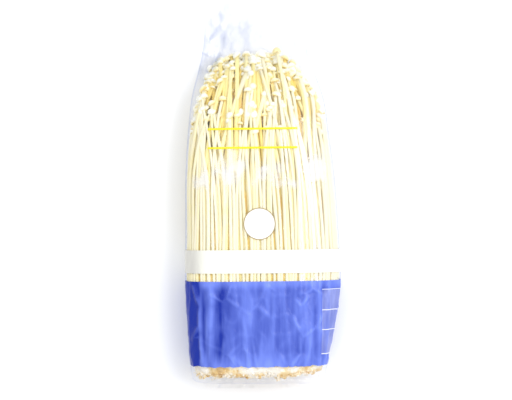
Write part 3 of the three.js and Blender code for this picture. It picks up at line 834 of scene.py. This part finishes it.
# Clear film lets the stems show and shines at grazing angles; near the mouth and seal its creases take a
# painted grey-blue shade, and on the upper face white blotches of painted glare stand where it catches the
# light.
crinkle_place = add("Mapping", None, Vector=print_place, Scale=(0.35, 0.16, 1.0))
crinkle = add("TexNoise", None, Vector=crinkle_place, Scale=1.0, Detail=2.0, Distortion=1.5)
crinkled = add("Bump", None, Strength=0.35, Distance=0.0006, Height=crinkle)
ink_coat = add(
    "BsdfPrincipled", None, Base_Color=ink, Roughness=0.28, Specular_IOR_Level=0.22, Normal=crinkled)
facing = add("LayerWeight", None, Blend=0.5).node.outputs["Facing"]
facing = both(facing, ranged(axes["Y"], -99.0, -92.0, 0.35, 1.0))
gloss_share = add("Math", {"operation": "MULTIPLY_ADD"}, _0=sum_of("POWER", facing, 4.0), _1=0.8, _2=0.05)
glare_and_crease_place = add("Mapping", None, Vector=print_place, Scale=(0.16, 0.09, 1.0))
glare_and_crease_noise = add("TexNoise", None, Vector=glare_and_crease_place, Scale=1.0, Detail=4.0)
# Painted grey-blue shade on creases and folds of the clear film near the mouth and the seal.
crease_shade = both(ranged(glare_and_crease_noise, 0.42, 0.72, 0.0, 0.6), ranged(print_x, -22.0, 8.0, 1.0, 0.25))
fold_shade = sum_of("MAXIMUM", ranged(fold, 0.2, 1.2, 0.0, 1.0), crease_shade)
ends = sum_of("MAXIMUM", ranged(axes["Y"], 56.0, 72.0, 0.0, 1.0), ranged(axes["Y"], -102.0, -99.5, 0.3, 0.0))
tint = inked(inked(FILM_CLEAR, facing, FILM_EDGE), both(fold_shade, ends), FILM_FOLD_SHADE)
clear = add("BsdfTransparent", None, Color=tint)
gloss_colour = inked(FILM_CLEAR, facing, GLOSS_EDGE)
gloss = add("BsdfGlossy", None, Color=gloss_colour, Roughness=0.12, Normal=crinkled)
film_surface = add("MixShader", None, _0=gloss_share, _1=clear, _2=gloss)
# White painted glare in blotches on the upper face, and a haze of it on the right side, where the film
# catches the light.
glare_edge = add("Math", {"operation": "MULTIPLY_ADD"}, _0=glare_and_crease_noise, _1=4.0, _2=-2.0)
glare_patches = ranged(glare_and_crease_noise, 0.5, 0.8, 0.0, 0.12)
for patch_x, patch_y, patch_width, patch_height in GLARE_PATCHES:
    across = sum_of("DIVIDE", sum_of("SUBTRACT", print_x, patch_x), patch_width)
    along = sum_of("DIVIDE", sum_of("SUBTRACT", axes["Y"], patch_y), patch_height)
    reach = sum_of("ADD", distance(across, along), glare_edge)
    glare_patches = sum_of("MAXIMUM", glare_patches, ranged(reach, 0.2, 1.5, GLARE_STRENGTH, 0.0))
side_glare = both(ranged(print_x, 14.0, 34.0, 0.0, 0.1), ranged(axes["Y"], 44.0, 70.0, 1.0, 0.1))
glare = both(sum_of("MAXIMUM", glare_patches, side_glare), face_up)
glare_surface = add("BsdfDiffuse", None, Color=GLARE_WHITE)
film_surface = add("MixShader", None, _0=glare, _1=film_surface, _2=glare_surface)
printed_film.data.materials.append(show(add("MixShader", None, _0=opaque, _1=film_surface, _2=ink_coat)))

# Studio
# A pale table top, a broad soft light from the right, a weaker one from the left and a bright room.
# The camera looks straight down on the pack.
FLOOR_SIZE = 3.0
FRAME_CENTRE = (-3.9 * MM, -2.5 * MM)
FRAME_WIDTH = 286.7 * MM
CAMERA_HEIGHT = 0.9
PACK_MIDDLE_Z = 18.0 * MM
SENSOR_WIDTH = 36.0
ROOM_COLOUR = (0.95, 0.97, 1.0, 1)
ROOM_STRENGTH = 0.95
TABLE_SHADES = [(0.3, (0.93, 0.93, 0.94)), (0.7, (0.95, 0.95, 0.96))]
LIGHTS = (  # name, place, size and power
    ("key_light", (0.5, 0.12, 0.8), 0.45, 3.7),
    ("fill_light", (-0.35, 0.1, 0.9), 0.3, 0.6),
    ("top_light", (0.05, 0.5, 0.8), 0.35, 0.8),
)

bpy.ops.mesh.primitive_plane_add(size=FLOOR_SIZE)
floor = bpy.context.object
floor.name = "floor"
add, show = new_material("pale_table")
floor_noise = add("TexNoise", None, Scale=3.0)
floor_colour = ramp(add, floor_noise, TABLE_SHADES)
floor.data.materials.append(show(add("BsdfPrincipled", None, Base_Color=floor_colour, Roughness=0.8)))

for name, place, size, power in LIGHTS:
    light = bpy.data.lights.new(name, "AREA")
    light.size = size
    light.energy = power
    lamp = bpy.data.objects.new(name, light)
    lamp.location = place
    lamp.rotation_euler = (-Vector(place)).to_track_quat("-Z", "Y").to_euler()
    bpy.context.scene.collection.objects.link(lamp)

world = bpy.data.worlds.new("bright_room")
world.use_nodes = True
background = world.node_tree.nodes["Background"]
background.inputs["Color"].default_value = ROOM_COLOUR
background.inputs["Strength"].default_value = ROOM_STRENGTH
bpy.context.scene.world = world
bpy.context.scene.view_settings.view_transform = "Standard"

camera_data = bpy.data.cameras.new("camera")
camera_data.sensor_width = SENSOR_WIDTH
camera_data.lens = SENSOR_WIDTH * CAMERA_HEIGHT / FRAME_WIDTH
camera = bpy.data.objects.new("camera", camera_data)
camera.location = (*FRAME_CENTRE, PACK_MIDDLE_Z + CAMERA_HEIGHT)
bpy.context.scene.collection.objects.link(camera)
bpy.context.scene.camera = camera
